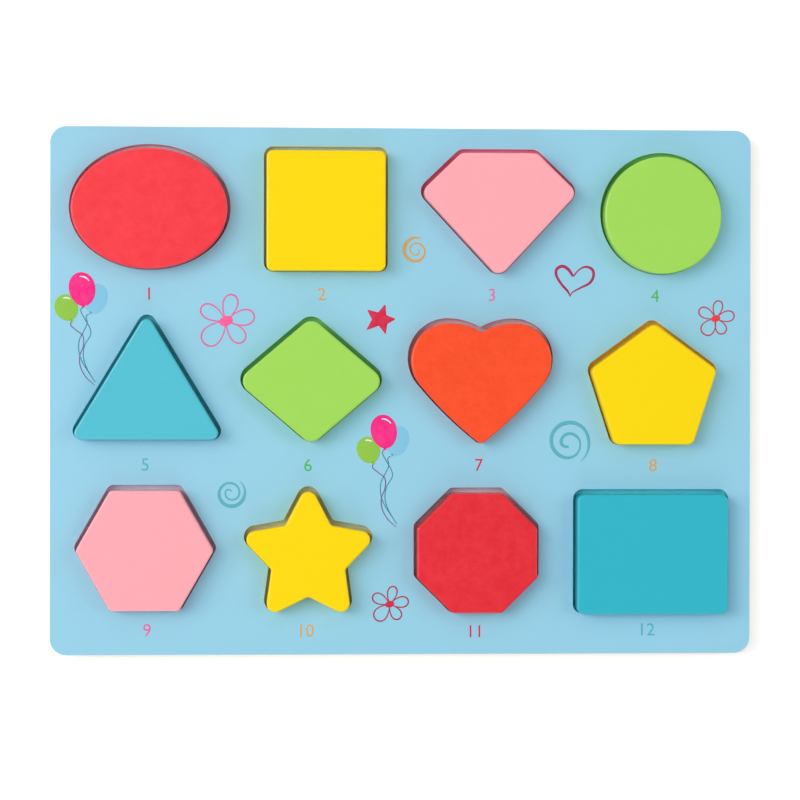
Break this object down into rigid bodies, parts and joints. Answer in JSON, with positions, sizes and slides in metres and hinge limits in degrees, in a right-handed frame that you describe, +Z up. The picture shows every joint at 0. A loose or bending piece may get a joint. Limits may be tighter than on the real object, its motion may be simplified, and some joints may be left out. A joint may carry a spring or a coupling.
{
  "type": "wooden shape puzzle",
  "caption": "Flat rectangular wooden puzzle for small children: a painted frame on a thin backing, with shaped recesses that each hold a loose, chunky block with rounded edges that lifts out.",
  "frame": {"origin": "middle of the board's flat underside", "axes": "+X along the board's long side, from the oval towards the round block; +Y across the board, towards the edge above the oval; +Z up, out of the painted face"},
  "size_m": [0.3, 0.225, 0.015],
  "materials": {
    "bare_wood": "matte",
    "pale_blue_paint": "satin",
    "red_paint": "satin",
    "yellow_paint": "satin",
    "pink_paint": "satin",
    "green_paint": "satin",
    "light_teal_paint": "satin",
    "orange_paint": "satin",
    "crimson_paint": "satin",
    "teal_paint": "satin"
  },
  "bodies": {
    "board": {"backing_board": "bare_wood", "top_frame": "pale_blue_paint"},
    "oval": {"oval_block": "red_paint"},
    "square": {"square_block": "yellow_paint"},
    "gem": {"gem_block": "pink_paint"},
    "round": {"round_block": "green_paint"},
    "triangle": {"triangle_block": "light_teal_paint"},
    "rhombus": {"rhombus_block": "green_paint"},
    "heart": {"heart_block": "orange_paint"},
    "pentagon": {"pentagon_block": "yellow_paint"},
    "hexagon": {"hexagon_block": "pink_paint"},
    "star": {"star_block": "yellow_paint"},
    "octagon": {"octagon_block": "crimson_paint"},
    "rectangle": {"rectangle_block": "teal_paint"}
  },
  "joints": [
    {"name": "lift_oval", "type": "slide", "parent": "board", "child": "oval", "axis": [0, 0, 1], "range_m": [0, 0.03]},
    {"name": "lift_square", "type": "slide", "parent": "board", "child": "square", "axis": [0, 0, 1], "range_m": [0, 0.03]},
    {"name": "lift_gem", "type": "slide", "parent": "board", "child": "gem", "axis": [0, 0, 1], "range_m": [0, 0.03]},
    {"name": "lift_round", "type": "slide", "parent": "board", "child": "round", "axis": [0, 0, 1], "range_m": [0, 0.03]},
    {"name": "lift_triangle", "type": "slide", "parent": "board", "child": "triangle", "axis": [0, 0, 1], "range_m": [0, 0.03]},
    {"name": "lift_rhombus", "type": "slide", "parent": "board", "child": "rhombus", "axis": [0, 0, 1], "range_m": [0, 0.03]},
    {"name": "lift_heart", "type": "slide", "parent": "board", "child": "heart", "axis": [0, 0, 1], "range_m": [0, 0.03]},
    {"name": "lift_pentagon", "type": "slide", "parent": "board", "child": "pentagon", "axis": [0, 0, 1], "range_m": [0, 0.03]},
    {"name": "lift_hexagon", "type": "slide", "parent": "board", "child": "hexagon", "axis": [0, 0, 1], "range_m": [0, 0.03]},
    {"name": "lift_star", "type": "slide", "parent": "board", "child": "star", "axis": [0, 0, 1], "range_m": [0, 0.03]},
    {"name": "lift_octagon", "type": "slide", "parent": "board", "child": "octagon", "axis": [0, 0, 1], "range_m": [0, 0.03]},
    {"name": "lift_rectangle", "type": "slide", "parent": "board", "child": "rectangle", "axis": [0, 0, 1], "range_m": [0, 0.03]}
  ]
}
